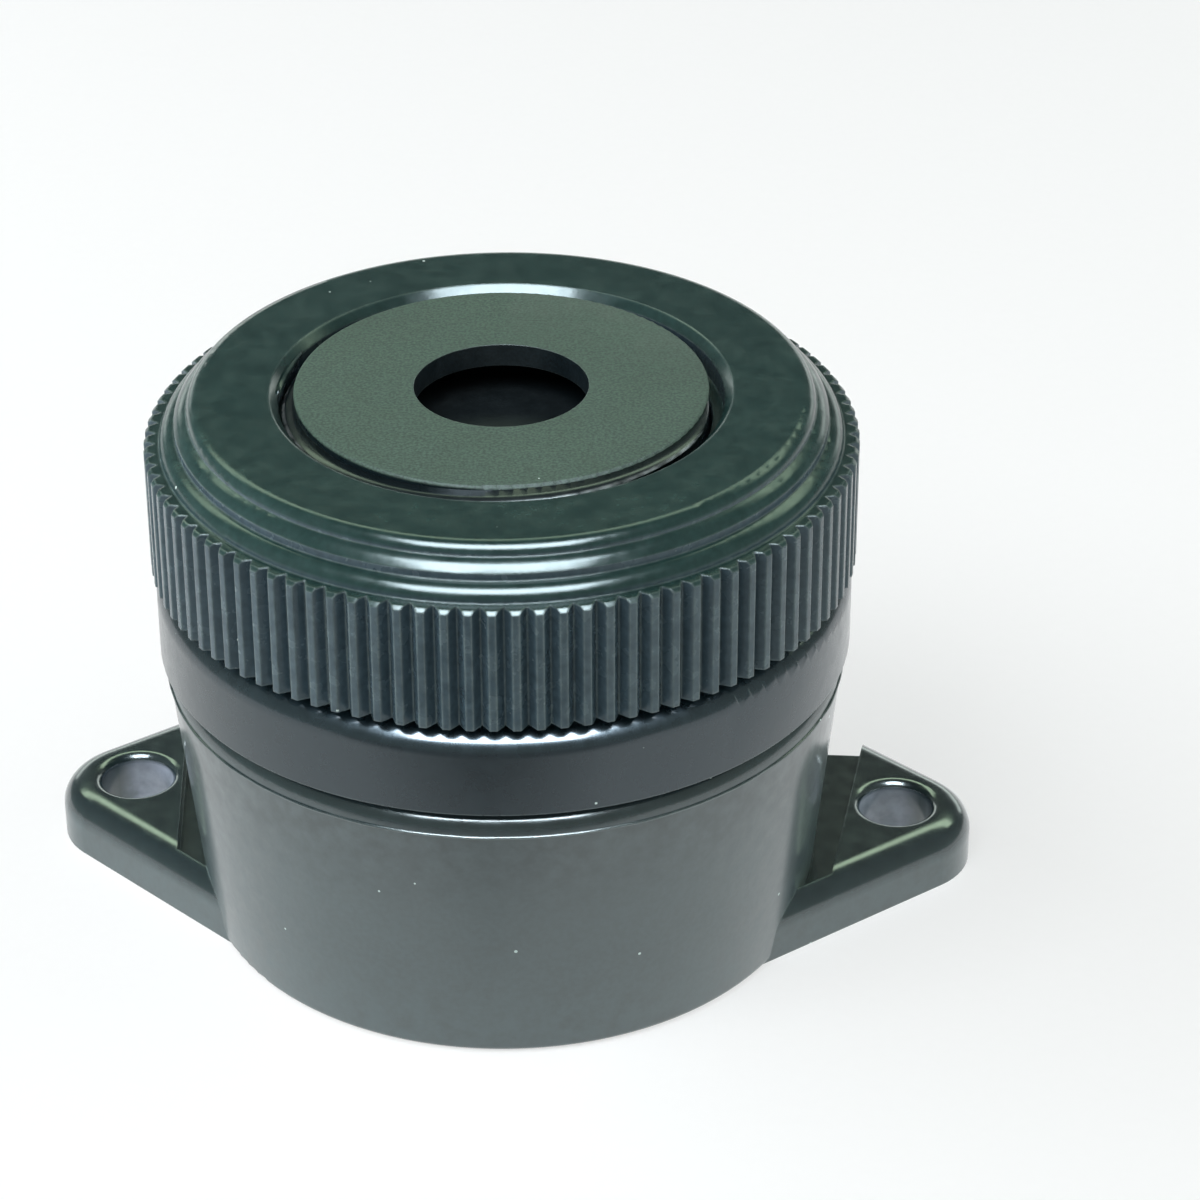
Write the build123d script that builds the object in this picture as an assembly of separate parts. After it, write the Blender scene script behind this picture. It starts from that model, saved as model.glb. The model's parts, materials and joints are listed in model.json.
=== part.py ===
from build123d import *
import os
from math import cos, degrees, radians, sin, sqrt, tan

# Panel-mount piezo buzzer: threaded front housing, knurled ring nut and eared mounting base.
# Sizes are in millimetres. The origin is the centre of the base's bottom plane, +Z runs up the
# sound axis and +X runs through the mounting ears. Every part is written to its own STEP file.

# ---------------------------------------------------------------- driving dimensions
overall_height = 24.5
ring_nut_diameter = 29.9

# front housing: threaded neck, shoulder band, sound chamber
neck_core_diameter = 17.3
neck_edge_radius = 0.15
neck_wall = 1.2
front_wall = 1.0
sound_hole_diameter = 7.3
sound_chamber_depth = 1.4
band_setback = 0.15
band_height = 4.1
band_edge_radius = 0.5
band_wall = 1.5
shoulder_wall = 1.3
diaphragm_ledge_width = 1.2
resonance_gap = 0.5

# baffle behind the sound hole
baffle_seat_width = 0.85
baffle_thickness = 1.0
baffle_clearance = 0.05
baffle_port_count = 6
baffle_port_diameter = 1.0
baffle_port_margin = 0.1

# knurled ring nut
thread_clearance = 0.15
nut_face_setback = 0.1
nut_counterbore_gap = 0.65
nut_counterbore_depth = 1.3
nut_bore_chamfer = 0.35
nut_flange_width = 1.3
nut_flange_drop = 1.95
nut_crown_width = 0.5
nut_crown_drop = 0.42
nut_crown_step = 0.1
nut_shoulder_width = 0.55
nut_shoulder_drop = 0.45
nut_shoulder_slope = 17.0
nut_cove_radius = 0.65
knurl_count = 100
knurl_depth = 0.45
knurl_crest_width = 0.3
knurl_edge_chamfer = 0.15

# mounting base
base_height = 12.65
base_setback = 0.2
base_foot_setback = 1.3
base_lip_radius = 1.0
base_foot_radius = 0.3
seam_gap = 0.25
seat_width = 0.2
tongue_clearance = 0.1
tongue_wall = 0.9
tongue_gap = 0.2
board_ledge_width = 1.3

# mounting ears, flush with the underside and set a little behind the middle
ear_reach = 3.8
ear_offset = 2.65
ear_hole_diameter = 3.2
ear_hole_edge_radius = 0.4
ear_tip_radius = 3.35
ear_flank_angle = 50.0
ear_back_width = 5.05
ear_thickness = 2.6
ear_edge_radius = 1.2
ear_relief_width = 1.15
ear_relief_slant = 6.5
ear_relief_lip = 0.8
ear_relief_depth = 0.9

# piezo element, bonded to the ledge in the front housing
diaphragm_clearance = 0.3
diaphragm_thickness = 0.3
brass_rim_width = 3.5
ceramic_thickness = 0.25
electrode_margin = 0.5
electrode_thickness = 0.1
feedback_width = 3.0
feedback_length = 5.5
feedback_gap = 0.5
sealant_width = 1.4
sealant_thickness = 0.5

# circuit board and what is soldered to it
board_thickness = 1.0
board_clearance = 0.2
component_clearance = 0.75
lead_diameter = 0.5
lead_hole_clearance = 0.1
lead_tail = 0.9
solder_height = 0.7
solder_foot_width = 0.55
solder_tip_width = 0.15
transistor_edge_distance = 5.5
transistor_diameter = 4.6
transistor_flat = 1.3
transistor_height = 4.4
transistor_standoff = 1.2
transistor_lead_pitch = 1.27
inductor_edge_distance = 5.9
inductor_angle = 205.0
inductor_diameter = 5.6
inductor_height = 4.4
inductor_flange = 0.9
inductor_waist_diameter = 2.8
winding_diameter = 5.0
inductor_lead_pitch = 3.6
axial_standoff = 0.2
axial_lead_pitch = 5.4
resistor_diameter = 1.8
resistor_length = 3.4
resistor_cap_length = 0.6
resistor_cap_slope = 0.25
resistor_waist = 0.2
resistor_edge_distance = 6.5
resistor_spacing = 3.8
diode_diameter = 1.8
diode_length = 3.6
diode_position = (1.2, -3.9)

# terminals and potting in the open underside
pin_diameter = 0.8
pin_pitch = 7.62
pin_edge_distance = 3.6
pin_recess = 0.3
pin_stub = 0.4
potting_recess = 0.8
potting_thickness = 2.6

# wires between the piezo element and the board
wire_diameter = 0.8
wire_bow_depth = 1.1
bead_diameter = 1.3
bead_height = 0.4
drive_wire_place = (-2.0, 2.2)
ground_wire_angle = 161.0

# ---------------------------------------------------------------- worked-out heights
band_bottom = base_height + seam_gap
band_top = band_bottom + band_height
chamber_top = overall_height - front_wall
baffle_top = chamber_top - sound_chamber_depth
baffle_bottom = baffle_top - baffle_thickness
nut_face = overall_height - nut_face_setback
flange_top = nut_face - nut_flange_drop
cavity_top = band_top - shoulder_wall
diaphragm_top = cavity_top - resonance_gap
diaphragm_bottom = diaphragm_top - diaphragm_thickness
ceramic_bottom = diaphragm_bottom - ceramic_thickness
electrode_bottom = ceramic_bottom - electrode_thickness
sealant_bottom = diaphragm_bottom - sealant_thickness
tongue_top = sealant_bottom - tongue_gap
tallest_component = max(transistor_standoff + transistor_height, inductor_height)
board_top = electrode_bottom - component_clearance - tallest_component
board_bottom = board_top - board_thickness
lead_bottom = board_bottom - lead_tail
potting_top = potting_recess + potting_thickness

# ---------------------------------------------------------------- worked-out radii
neck_radius = neck_core_diameter / 2
neck_bore_radius = neck_radius - neck_wall
chamber_radius = neck_bore_radius - baffle_seat_width
port_radius = baffle_port_diameter / 2
port_circle_radius = chamber_radius - baffle_port_margin - port_radius
nut_radius = ring_nut_diameter / 2
nut_bore_radius = neck_radius + thread_clearance
counterbore_radius = neck_radius + nut_counterbore_gap
band_radius = nut_radius - band_setback
housing_bore_radius = band_radius - band_wall
base_top_radius = band_radius - base_setback
base_bottom_radius = base_top_radius - base_foot_setback
tongue_radius = housing_bore_radius - tongue_clearance
base_bore_radius = tongue_radius - tongue_wall
potting_radius = base_bore_radius - board_ledge_width
board_radius = base_bore_radius - board_clearance
diaphragm_radius = housing_bore_radius - diaphragm_clearance
ceramic_radius = diaphragm_radius - brass_rim_width
electrode_radius = ceramic_radius - electrode_margin
sealant_inner_radius = housing_bore_radius - sealant_width
lead_radius = lead_diameter / 2
pin_radius = pin_diameter / 2


# ---------------------------------------------------------------- worked-out places
def polar(radius, angle):
    """Point at a radius and an angle in degrees from +X."""
    return radius * cos(radians(angle)), radius * sin(radians(angle))


ear_hole_place = (base_bottom_radius + ear_reach, ear_offset)
ear_back = ear_offset + ear_back_width
transistor_position = (0, board_radius - transistor_edge_distance)
inductor_position = polar(board_radius - inductor_edge_distance, inductor_angle)
resistor_positions = [
    (board_radius - resistor_edge_distance, side * resistor_spacing / 2) for side in (-1, 1)
]
pin_places = [(side * pin_pitch / 2, pin_edge_distance - potting_radius) for side in (-1, 1)]
feedback_wire_place = (electrode_radius - feedback_length / 2, 0)
ground_wire_place = polar((ceramic_radius + sealant_inner_radius) / 2, ground_wire_angle)


# ---------------------------------------------------------------- shared shapes
def disc(radius, bottom, top, place=(0, 0)):
    """Upright cylinder between two heights."""
    return extrude(Pos(place[0], place[1], bottom) * Circle(radius), top - bottom)


def ring(outer, inner, bottom, top):
    """Flat-ended tube between two heights."""
    return disc(outer, bottom, top) - disc(inner, bottom, top)


def turned(outline):
    """Solid of revolution about Z from a closed list of edges drawn in radius and height."""
    return revolve(Plane.XZ * make_face(outline), Axis.Z)


def chain(*points):
    """Straight run through the points of a profile."""
    return Polyline(*points).edges()


def save(name, shape):
    """Write one part under its own name."""
    shape.label = name
    export_step(shape, f"parts/{name}.step")


# ---------------------------------------------------------------- front housing and baffle
def make_front_housing():
    """One moulding: neck with the sound hole, shoulder band and the bore that holds the piezo."""
    band = disc(band_radius, band_bottom, band_top)
    band = fillet(band.edges().sort_by(Axis.Z)[-1], band_edge_radius)
    neck = disc(neck_radius, band_top, overall_height)
    neck = fillet(neck.edges().sort_by(Axis.Z)[-1], neck_edge_radius)
    body = band + neck
    body -= disc(housing_bore_radius, band_bottom, diaphragm_top)
    body -= disc(housing_bore_radius - diaphragm_ledge_width, diaphragm_top, cavity_top)
    body -= disc(neck_bore_radius, cavity_top, baffle_top)
    body -= disc(chamber_radius, baffle_top, chamber_top)
    body -= disc(sound_hole_diameter / 2, chamber_top, overall_height)
    return body


def make_baffle_plate():
    """Disc behind the sound hole, with a circle of ports hidden under the front wall."""
    plate = disc(neck_bore_radius - baffle_clearance, baffle_bottom, baffle_top)
    port = disc(port_radius, baffle_bottom, baffle_top)
    for place in PolarLocations(port_circle_radius, baffle_port_count):
        plate -= place * port
    return plate


# ---------------------------------------------------------------- ring nut
def knurl_outline():
    """Closed outline of the knurl: flat crests joined by V grooves."""
    crest = degrees(knurl_crest_width / nut_radius)
    root_radius = nut_radius - knurl_depth
    points = []
    for tooth in range(knurl_count):
        centre = tooth * 360 / knurl_count
        for radius, angle in (
            (nut_radius, centre - crest / 2),
            (nut_radius, centre + crest / 2),
            (root_radius, centre + 180 / knurl_count),
        ):
            points.append(polar(radius, angle))
    return Polygon(*points, align=None)


def make_knurled_skirt():
    """Knurled lower part of the nut, its grooves cut off by a chamfer at the flange."""
    skirt = extrude(Pos(0, 0, band_top) * knurl_outline(), flange_top - band_top)
    envelope = chain(
        (0, band_top),
        (nut_radius, band_top),
        (nut_radius, flange_top - knurl_edge_chamfer),
        (nut_radius - knurl_edge_chamfer, flange_top),
        (0, flange_top),
        (0, band_top),
    )
    return skirt & turned(envelope)


def make_nut_collar():
    """Crowned collar above the flange: flat face, crown, fine step, shoulder, wall and cove."""
    collar_radius = nut_radius - nut_flange_width
    shoulder_radius = collar_radius - nut_shoulder_width
    crown_radius = shoulder_radius - nut_crown_width
    crown_foot = nut_face - nut_crown_drop
    shoulder_top = crown_foot - nut_crown_step
    shoulder_foot = shoulder_top - nut_shoulder_drop
    cove_foot = (collar_radius + nut_cove_radius, flange_top)
    cove_top = (collar_radius, flange_top + nut_cove_radius)
    slope = (1, -tan(radians(nut_shoulder_slope)))
    crown = TangentArc((crown_radius, nut_face), (shoulder_radius, crown_foot), tangent=(1, 0))
    shoulder = TangentArc((shoulder_radius, shoulder_top), (collar_radius, shoulder_foot), tangent=slope)
    cove = RadiusArc(cove_top, cove_foot, nut_cove_radius)
    return turned(
        chain(cove_foot, (0, flange_top), (0, nut_face), (crown_radius, nut_face))
        + [crown.edge()]
        + chain((shoulder_radius, crown_foot), (shoulder_radius, shoulder_top))
        + [shoulder.edge()]
        + chain((collar_radius, shoulder_foot), cove_top)
        + [cove.edge()]
    )


def make_ring_nut():
    """Ring nut: knurled skirt and crowned collar, bored and counterbored for the neck."""
    counterbore_floor = nut_face - nut_counterbore_depth
    bore = chain(
        (0, band_top),
        (nut_bore_radius, band_top),
        (nut_bore_radius, counterbore_floor),
        (counterbore_radius, counterbore_floor),
        (counterbore_radius, nut_face - nut_bore_chamfer),
        (counterbore_radius + nut_bore_chamfer, nut_face),
        (0, nut_face),
        (0, band_top),
    )
    return make_knurled_skirt() + make_nut_collar() - turned(bore)


# ---------------------------------------------------------------- mounting base
def base_wall_radius(height):
    """Radius of the tapered outer wall at a height."""
    return base_bottom_radius + base_foot_setback * height / base_height


def ear_flank_distance():
    """Distance of the ear's front flank from the axis."""
    x, y = ear_hole_place
    flank = radians(ear_flank_angle)
    return x * cos(flank) - y * sin(flank) + ear_tip_radius


def ear_plan():
    """Plan of the right-hand ear: round tip, two flanks and a back edge straight across."""
    x, y = ear_hole_place
    root = polar(ear_flank_distance(), -ear_flank_angle)
    tip_x, tip_y = polar(ear_tip_radius, ear_flank_angle)
    back_run = (ear_back - y - tip_y) * tan(radians(ear_flank_angle))
    outline = Polygon(
        root,
        (x + tip_x, y - tip_y),
        (x + tip_x, y + tip_y),
        (x + tip_x - back_run, ear_back),
        (root[0], ear_back),
        align=None,
    )
    return outline + Pos(x, y) * Circle(ear_tip_radius)


def make_ear_relief():
    """Trench between ear and wall, open at the back and closed by the rim of the front flank."""
    flank = radians(ear_flank_angle)
    slant = tan(radians(ear_relief_slant))
    distance = ear_flank_distance() - ear_relief_lip
    side = base_wall_radius(ear_thickness) + ear_relief_width
    front = (side * cos(flank) - distance) / (sin(flank) - slant * cos(flank))
    root = polar(distance, -ear_flank_angle)
    outline = Polygon(
        root,
        (side + slant * front, front),
        (side + slant * ear_back, ear_back),
        (root[0], ear_back),
        align=None,
    )
    return extrude(Pos(0, 0, ear_thickness - ear_relief_depth) * outline, ear_relief_depth)


def make_ear():
    """Right-hand ear with its rounded rim, relief and fastening hole."""
    ear = extrude(ear_plan(), ear_thickness)
    rim = ear.faces().sort_by(Axis.Z)[-1].edges().sort_by(Axis.X)[-3:]
    ear = fillet(rim, ear_edge_radius) - make_ear_relief()

    hole_radius = ear_hole_diameter / 2
    flare_radius = hole_radius + ear_hole_edge_radius
    flare_foot = ear_thickness - ear_hole_edge_radius
    flare = RadiusArc((hole_radius, flare_foot), (flare_radius, ear_thickness), ear_hole_edge_radius)
    drill = turned(
        chain((0, ear_thickness), (0, 0), (hole_radius, 0), (hole_radius, flare_foot))
        + [flare.edge()]
        + chain((flare_radius, ear_thickness), (0, ear_thickness))
    )
    return ear - Pos(*ear_hole_place, 0) * drill


def make_mounting_base():
    """Open tapered cup with two ears, a ledge for the board and a tongue into the front housing."""
    profile = chain((0, 0), (base_bottom_radius, 0), (base_top_radius, base_height), (0, base_height), (0, 0))
    cup = turned(profile)
    cup = fillet(cup.edges().filter_by(GeomType.CIRCLE).sort_by(Axis.Z)[-1], base_lip_radius)
    cup = fillet(cup.edges().filter_by(GeomType.CIRCLE).sort_by(Axis.Z)[0], base_foot_radius)
    cup += disc(housing_bore_radius + seat_width, base_height, band_bottom)
    cup += disc(tongue_radius, band_bottom, tongue_top)
    ear = make_ear()
    cup += ear + mirror(ear, Plane.YZ)
    cup -= disc(potting_radius, 0, board_bottom)
    cup -= disc(base_bore_radius, board_bottom, tongue_top)
    return cup


# ---------------------------------------------------------------- piezo element
def make_diaphragm_plate():
    """Brass disc that rings."""
    return disc(diaphragm_radius, diaphragm_bottom, diaphragm_top)


def make_piezo_ceramic():
    """Ceramic disc bonded under the brass."""
    return disc(ceramic_radius, ceramic_bottom, diaphragm_bottom)


def feedback_tongue(width, length):
    """Tongue from the electrode's edge towards its centre, with a round end."""
    start = electrode_radius - length + width / 2
    tongue = Pos(start, 0) * Circle(width / 2)
    tongue += Pos(start, 0) * Rectangle(length, width, align=(Align.MIN, Align.CENTER))
    return tongue & Circle(electrode_radius)


def make_main_electrode():
    """Silver film on the ceramic, cut back around the feedback tongue."""
    gap = feedback_tongue(feedback_width + 2 * feedback_gap, feedback_length + feedback_gap)
    film = Circle(electrode_radius) - gap
    return extrude(Pos(0, 0, electrode_bottom) * film, electrode_thickness)


def make_feedback_electrode():
    """Silver tongue that senses the movement of the disc."""
    film = feedback_tongue(feedback_width, feedback_length)
    return extrude(Pos(0, 0, electrode_bottom) * film, electrode_thickness)


def make_sealant_ring():
    """Silicone bead that holds the diaphragm's rim to the ledge."""
    return ring(housing_bore_radius, sealant_inner_radius, sealant_bottom, diaphragm_bottom)


# ---------------------------------------------------------------- circuit board
def transistor_lead_places():
    """Three leads in line."""
    x, y = transistor_position
    return [(x + step * transistor_lead_pitch, y) for step in (-1, 0, 1)]


def inductor_lead_places():
    """Two leads on opposite sides of the drum."""
    x, y = inductor_position
    return [(x, y + side * inductor_lead_pitch / 2) for side in (-1, 1)]


def axial_lead_places(position):
    """Both leads of a part that lies along X."""
    x, y = position
    return [(x + side * axial_lead_pitch / 2, y) for side in (-1, 1)]


def all_lead_places():
    """Every soldered lead on the board."""
    places = transistor_lead_places() + inductor_lead_places()
    for position in (*resistor_positions, diode_position):
        places += axial_lead_places(position)
    return places


def make_circuit_board():
    """Round board drilled for the leads and the terminal pins."""
    board = disc(board_radius, board_bottom, board_top)
    for place in all_lead_places():
        board -= disc(lead_radius + lead_hole_clearance, board_bottom, board_top, place)
    for place in pin_places:
        board -= disc(pin_radius + lead_hole_clearance, board_bottom, board_top, place)
    return board


def solder_cone(place, core_radius):
    """Solder fillet under the board around one lead or pin."""
    tip = board_bottom - solder_height
    outline = chain(
        (core_radius, board_bottom),
        (core_radius + solder_foot_width, board_bottom),
        (core_radius + solder_tip_width, tip),
        (core_radius, tip),
        (core_radius, board_bottom),
    )
    return Pos(place[0], place[1], 0) * turned(outline)


def make_solder_joints():
    """All solder fillets under the board."""
    joints = [solder_cone(place, lead_radius) for place in all_lead_places()]
    joints += [solder_cone(place, pin_radius) for place in pin_places]
    return Compound(children=joints)


def straight_lead(place, top):
    """Lead that runs straight down through the board from a height."""
    return disc(lead_radius, lead_bottom, top, place)


def make_transistor_body():
    """Moulded D-shaped transistor, its flat towards the board's edge."""
    x, y = transistor_position
    bottom = board_top + transistor_standoff
    body = disc(transistor_diameter / 2, bottom, bottom + transistor_height, transistor_position)
    size = transistor_diameter
    keep = Box(size, size, transistor_height, align=(Align.CENTER, Align.MAX, Align.MIN))
    return body & Pos(x, y + transistor_flat, bottom) * keep


def make_transistor_leads():
    """Three straight leads from the body down through the board."""
    top = board_top + transistor_standoff
    return Compound(children=[straight_lead(place, top) for place in transistor_lead_places()])


def inductor_waist():
    """Space between the drum's flanges, which the winding fills out to its own diameter."""
    return board_top + inductor_flange, board_top + inductor_height - inductor_flange


def make_inductor_core():
    """Ferrite drum with two flanges and a waist."""
    x, y = inductor_position
    outer = inductor_diameter / 2
    core = disc(outer, board_top, board_top + inductor_height, inductor_position)
    core -= Pos(x, y, 0) * ring(outer, inductor_waist_diameter / 2, *inductor_waist())
    for place in inductor_lead_places():
        core -= disc(lead_radius, board_top, board_top + inductor_flange, place)
    return core


def make_inductor_winding():
    """Copper winding in the drum's waist."""
    x, y = inductor_position
    return Pos(x, y, 0) * ring(winding_diameter / 2, inductor_waist_diameter / 2, *inductor_waist())


def make_inductor_leads():
    """Two leads from the lower flange down through the board."""
    top = board_top + inductor_flange
    return Compound(children=[straight_lead(place, top) for place in inductor_lead_places()])


def axial_height(diameter):
    """Height of the axis of a part that lies on the board."""
    return board_top + axial_standoff + diameter / 2


def axial_leads(position, diameter, length):
    """Two leads that leave the ends of a lying part, bend and go down through the board."""
    height = axial_height(diameter)
    x, y = position
    bend = lead_diameter
    leads = []
    for side in (-1, 1):
        corner = x + side * axial_lead_pitch / 2
        start = (x + side * length / 2, y, height)
        before = (corner - side * bend, y, height)
        after = (corner, y, height - bend)
        runs = [
            Edge.make_line(start, before),
            Edge.make_tangent_arc(before, (side, 0, 0), after),
            Edge.make_line(after, (corner, y, lead_bottom)),
        ]
        section = Plane(origin=start, z_dir=(side, 0, 0)) * Circle(lead_radius)
        leads.append(sweep(section, path=Wire(runs)))
    return leads


def make_resistor(number):
    """Film resistor: a round body along X between two swollen end caps."""
    x, y = resistor_positions[number]
    radius = resistor_diameter / 2
    waist = radius - resistor_waist
    end = resistor_length / 2
    cap = end - resistor_cap_length
    neck = cap - resistor_cap_slope
    outline = chain((0, -end), (radius, -end), (radius, -cap), (waist, -neck))
    outline += chain((waist, -neck), (waist, neck), (radius, cap), (radius, end), (0, end), (0, -end))
    return Pos(x, y, axial_height(resistor_diameter)) * Rot(0, 90, 0) * turned(outline)


def make_resistor_leads(number):
    """The two leads of one resistor."""
    return Compound(children=axial_leads(resistor_positions[number], resistor_diameter, resistor_length))


def make_diode_body():
    """Glass diode that guards against reversed supply."""
    x, y = diode_position
    glass = Rot(0, 90, 0) * Cylinder(diode_diameter / 2, diode_length)
    return Pos(x, y, axial_height(diode_diameter)) * glass


def make_diode_leads():
    """The diode's two leads."""
    return Compound(children=axial_leads(diode_position, diode_diameter, diode_length))


# ---------------------------------------------------------------- terminals, potting and wires
def make_terminal_pins():
    """Two supply pins from the board to just inside the open underside."""
    top = board_top + pin_stub
    return Compound(children=[disc(pin_radius, pin_recess, top, place) for place in pin_places])


def make_potting():
    """Epoxy plug in the open underside, poured round the pins."""
    plug = disc(potting_radius, potting_recess, potting_top)
    for place in pin_places:
        plug -= disc(pin_radius, potting_recess, potting_top, place)
    return plug


def make_wire(place, contact):
    """Bowed wire from a bead under the piezo element down to a bead on the board."""
    x, y = place
    top = contact - bead_height
    bottom = board_top + bead_height
    reach = sqrt(x * x + y * y)
    middle = (x - wire_bow_depth * x / reach, y - wire_bow_depth * y / reach, (top + bottom) / 2)
    path = Edge.make_three_point_arc((x, y, bottom), middle, (x, y, top))
    section = Plane(origin=(x, y, bottom), z_dir=path % 0) * Circle(wire_diameter / 2)
    wire = sweep(section, path=path)
    return wire & disc(base_bore_radius, bottom, top)


wire_ends = {
    "drive_wire": (drive_wire_place, electrode_bottom),
    "feedback_wire": (feedback_wire_place, electrode_bottom),
    "ground_wire": (ground_wire_place, diaphragm_bottom),
}


def make_solder_beads():
    """Solder beads at both ends of each wire."""
    beads = []
    for place, contact in wire_ends.values():
        beads.append(disc(bead_diameter / 2, contact - bead_height, contact, place))
        beads.append(disc(bead_diameter / 2, board_top, board_top + bead_height, place))
    return Compound(children=beads)


# ---------------------------------------------------------------- write every part
os.makedirs("parts", exist_ok=True)
save("front_housing", make_front_housing())
save("baffle_plate", make_baffle_plate())
save("ring_nut", make_ring_nut())
save("mounting_base", make_mounting_base())
save("diaphragm_plate", make_diaphragm_plate())
save("piezo_ceramic", make_piezo_ceramic())
save("main_electrode", make_main_electrode())
save("feedback_electrode", make_feedback_electrode())
save("sealant_ring", make_sealant_ring())
save("circuit_board", make_circuit_board())
save("solder_joints", make_solder_joints())
save("transistor_body", make_transistor_body())
save("transistor_leads", make_transistor_leads())
save("inductor_core", make_inductor_core())
save("inductor_winding", make_inductor_winding())
save("inductor_leads", make_inductor_leads())
for number in range(len(resistor_positions)):
    save(f"resistor_{number + 1}", make_resistor(number))
    save(f"resistor_{number + 1}_leads", make_resistor_leads(number))
save("diode_body", make_diode_body())
save("diode_leads", make_diode_leads())
save("terminal_pins", make_terminal_pins())
save("potting", make_potting())
for name, (place, contact) in wire_ends.items():
    save(name, make_wire(place, contact))
save("solder_beads", make_solder_beads())
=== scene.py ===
# %% [markdown]
# # A piezo buzzer in black moulded plastic
# The model comes packed from CAD in metres, with +Z up its sound axis and +X towards its right-hand
# ear. Its solids are right as they are, so this lesson only dresses them: it lights them, gives each
# one the finish of its real material, and adds the fine screw thread that the solids leave out.

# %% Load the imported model
import json
import math

import bmesh
import bpy
from mathutils import Matrix, Vector


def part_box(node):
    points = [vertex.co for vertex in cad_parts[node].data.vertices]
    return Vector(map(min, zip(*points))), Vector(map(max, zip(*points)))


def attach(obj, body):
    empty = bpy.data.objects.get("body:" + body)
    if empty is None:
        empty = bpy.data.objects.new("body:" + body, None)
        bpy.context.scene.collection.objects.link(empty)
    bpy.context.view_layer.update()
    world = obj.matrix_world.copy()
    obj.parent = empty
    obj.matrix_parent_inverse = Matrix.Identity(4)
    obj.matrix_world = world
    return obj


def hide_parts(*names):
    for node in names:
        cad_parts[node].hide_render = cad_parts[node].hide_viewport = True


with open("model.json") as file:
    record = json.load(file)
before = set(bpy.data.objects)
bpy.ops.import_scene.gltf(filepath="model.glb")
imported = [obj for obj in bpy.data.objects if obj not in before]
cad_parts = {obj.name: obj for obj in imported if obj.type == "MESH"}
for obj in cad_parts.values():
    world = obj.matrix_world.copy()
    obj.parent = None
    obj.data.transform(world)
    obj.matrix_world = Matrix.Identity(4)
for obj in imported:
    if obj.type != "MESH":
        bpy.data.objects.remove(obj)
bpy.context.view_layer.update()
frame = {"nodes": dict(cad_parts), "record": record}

MM = 0.001
nodes = frame["nodes"]

# %% [markdown]
# ## Camera
# A small part is looked at from close by, a little above it, so near edges look larger than far
# ones. The camera looks down at about 31 degrees from the front, turned slightly towards the
# right-hand ear. Its place is worked out from a distance and two angles, because these are easier
# to reason about than three coordinates.

# %% Place the camera
aim = Vector((4.07, 0.0, 14.05)) * MM
distance = 172.5 * MM
elevation = math.radians(31.0)
turn = math.radians(4.1)
roll = math.radians(-0.2)

forward = Vector((0.0, math.cos(elevation), -math.sin(elevation)))
right = Vector((1.0, 0.0, 0.0))
up = right.cross(forward)
basis = Matrix((
    math.cos(roll) * right + math.sin(roll) * up,
    -math.sin(roll) * right + math.cos(roll) * up,
    -forward,
)).transposed()
turned_round = Matrix.Rotation(turn, 3, "Z")

camera_data = bpy.data.cameras.new("studio_camera")
camera_data.sensor_width = 36.0
camera_data.lens = 120.6
camera_data.clip_start = 0.01
camera_data.dof.use_dof = False
camera = bpy.data.objects.new("studio_camera", camera_data)
camera.matrix_world = (turned_round @ basis).to_4x4()
camera.location = turned_round @ (aim - distance * forward)
bpy.context.scene.collection.objects.link(camera)
bpy.context.scene.camera = camera
print("camera at mm:", [round(v / MM, 1) for v in camera.location])

# %% [markdown]
# ## Colour
# Colours are written as the hex codes of a colour picker, which are sRGB, while Blender's shaders
# count in linear light. One function turns the first into the second. The tone curve is left out
# as well, so that a colour is drawn about as it is written.

# %% From hex codes to linear light
bpy.context.scene.view_settings.view_transform = "Standard"


def linear(code):
    """Linear RGBA of an sRGB hex code."""
    channels = [int(code[i:i + 2], 16) / 255 for i in (1, 3, 5)]
    return [c / 12.92 if c <= 0.04045 else ((c + 0.055) / 1.055) ** 2.4 for c in channels] + [1.0]


print("mid grey #808080 is", round(linear("#808080")[0], 3), "in linear light")

# %% [markdown]
# ## Nodes
# A material is a chain of shader nodes. One function adds a node, sets it and links what feeds it,
# so each material reads as a list. Many nodes have outputs that only some of their modes use, so a
# node given as an input stands for its first output in use. Patterns are easiest to size in
# millimetres, so each material starts from the place of a point in those.

# %% Add a node
def add(tree, kind, inputs=None, **settings):
    """Add a node, set its properties, and fill or link its inputs."""
    node = tree.nodes.new(kind)
    for name, value in settings.items():
        setattr(node, name, value)
    for name, value in (inputs or {}).items():
        if isinstance(value, bpy.types.Node):
            value = next(output for output in value.outputs if output.enabled)
        if isinstance(value, bpy.types.NodeSocket):
            tree.links.new(value, node.inputs[name])
        else:
            node.inputs[name].default_value = value
    return node


def place_in_mm(tree):
    """Place of a point on the part, in mm."""
    place = add(tree, "ShaderNodeTexCoord").outputs["Object"]
    return add(tree, "ShaderNodeVectorMath", {0: place, "Scale": 1 / MM}, operation="SCALE")


print("one mm is", MM, "in the model")

# %% [markdown]
# ## Floor
# The part stands on white seamless paper, which could be an image of paper or one plain colour.
# Here it is a sheet with a faint fibre, because a wholly flat white looks like nothing at all. To
# the camera it is mixed more than half with plain white, so it reads as a white ground and still
# keeps a soft shadow.

# %% Lay the paper
paper_half = 600 * MM
paper_drop = 0.01 * MM
paper_mesh = bpy.data.meshes.new("paper")
corners = [(-1, -1), (1, -1), (1, 1), (-1, 1)]
sheet = [(x * paper_half, y * paper_half, -paper_drop) for x, y in corners]
paper_mesh.from_pydata(sheet, [], [(0, 1, 2, 3)])
paper = bpy.data.objects.new("paper", paper_mesh)
bpy.context.scene.collection.objects.link(paper)
print("paper:", round(2 * paper_half / MM), "mm across")

# %% [markdown]
# Black plastic shows its shape by what it mirrors, and what stands round it is mostly this paper.
# To gloss the paper is plain white too, but it dims in front, where the camera and whoever holds
# it stand in the light. That leaves the front of each wall dark and its two sides bright, which
# is what makes a cylinder look round.

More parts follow.
